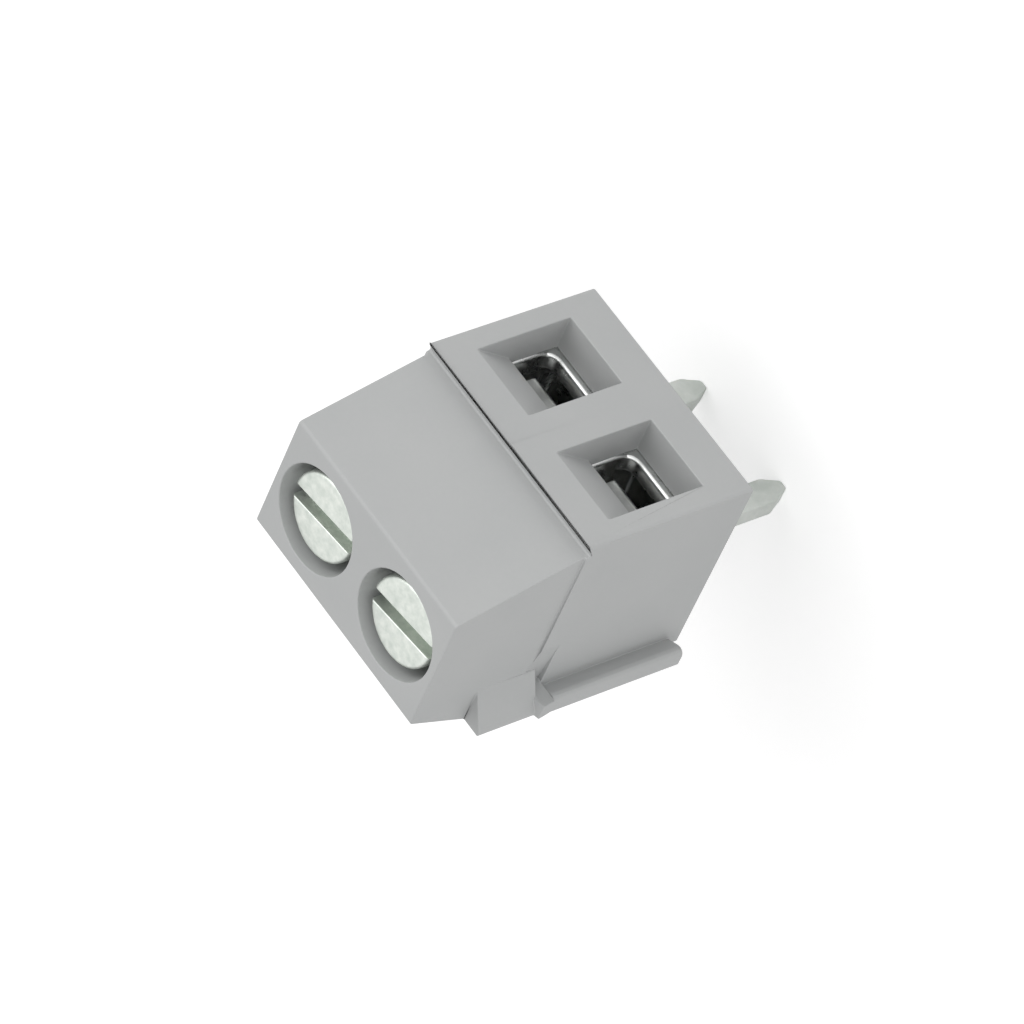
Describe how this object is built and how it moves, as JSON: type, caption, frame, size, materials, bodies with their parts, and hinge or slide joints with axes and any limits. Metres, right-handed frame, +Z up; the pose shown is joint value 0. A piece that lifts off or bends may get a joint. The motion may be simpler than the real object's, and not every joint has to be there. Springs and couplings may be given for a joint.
{
  "type": "pcb screw terminal",
  "caption": "Screw terminal block for a circuit board: wires enter funnels in the front, slotted screws clamp them from the top, and flat pins are soldered into the board.",
  "frame": {"origin": "on the board plane (the housing's underside), midway between the two solder pins", "axes": "+Z up along the screws, -Y out of the wire entries, +X along the row from pole 1 to pole 2"},
  "size_m": [0.0109, 0.0085, 0.0178],
  "materials": {
    "housing_plastic": "fine satin moulding, light grey polyamide",
    "tin_plate": "bright tin plating",
    "pin_tin": "satin tin plating",
    "plate_steel": "satin",
    "zinc_plate": "pale zinc plating, slightly mottled"
  },
  "bodies": {
    "block": {"housing": "housing_plastic", "clamp_body_1": "tin_plate", "clamp_body_2": "tin_plate", "solder_pin_1": "pin_tin", "solder_pin_2": "pin_tin"},
    "plate_1": {"pressure_plate_1": "plate_steel"},
    "screw_1": {"clamp_screw_1": "zinc_plate"},
    "plate_2": {"pressure_plate_2": "plate_steel"},
    "screw_2": {"clamp_screw_2": "zinc_plate"}
  },
  "joints": [
    {"name": "plate_travel_1", "type": "slide", "parent": "block", "child": "plate_1", "axis": [0, 0, -1], "range_m": [-0.0008, 0.00095]},
    {"name": "screw_turn_1", "type": "hinge", "parent": "plate_1", "child": "screw_1", "pos_m": [-0.0025, -0.0003, 0], "axis": [0, 0, -1], "range_deg": [-577, 685]},
    {"name": "plate_travel_2", "type": "slide", "parent": "block", "child": "plate_2", "axis": [0, 0, -1], "range_m": [-0.0008, 0.00095]},
    {"name": "screw_turn_2", "type": "hinge", "parent": "plate_2", "child": "screw_2", "pos_m": [0.0025, -0.0003, 0], "axis": [0, 0, -1], "range_deg": [-577, 685]}
  ],
  "couplings": [
    {"joint": "screw_turn_1", "follows": "plate_travel_1", "rad_per_m": 12566},
    {"joint": "screw_turn_2", "follows": "plate_travel_2", "rad_per_m": 12566}
  ]
}
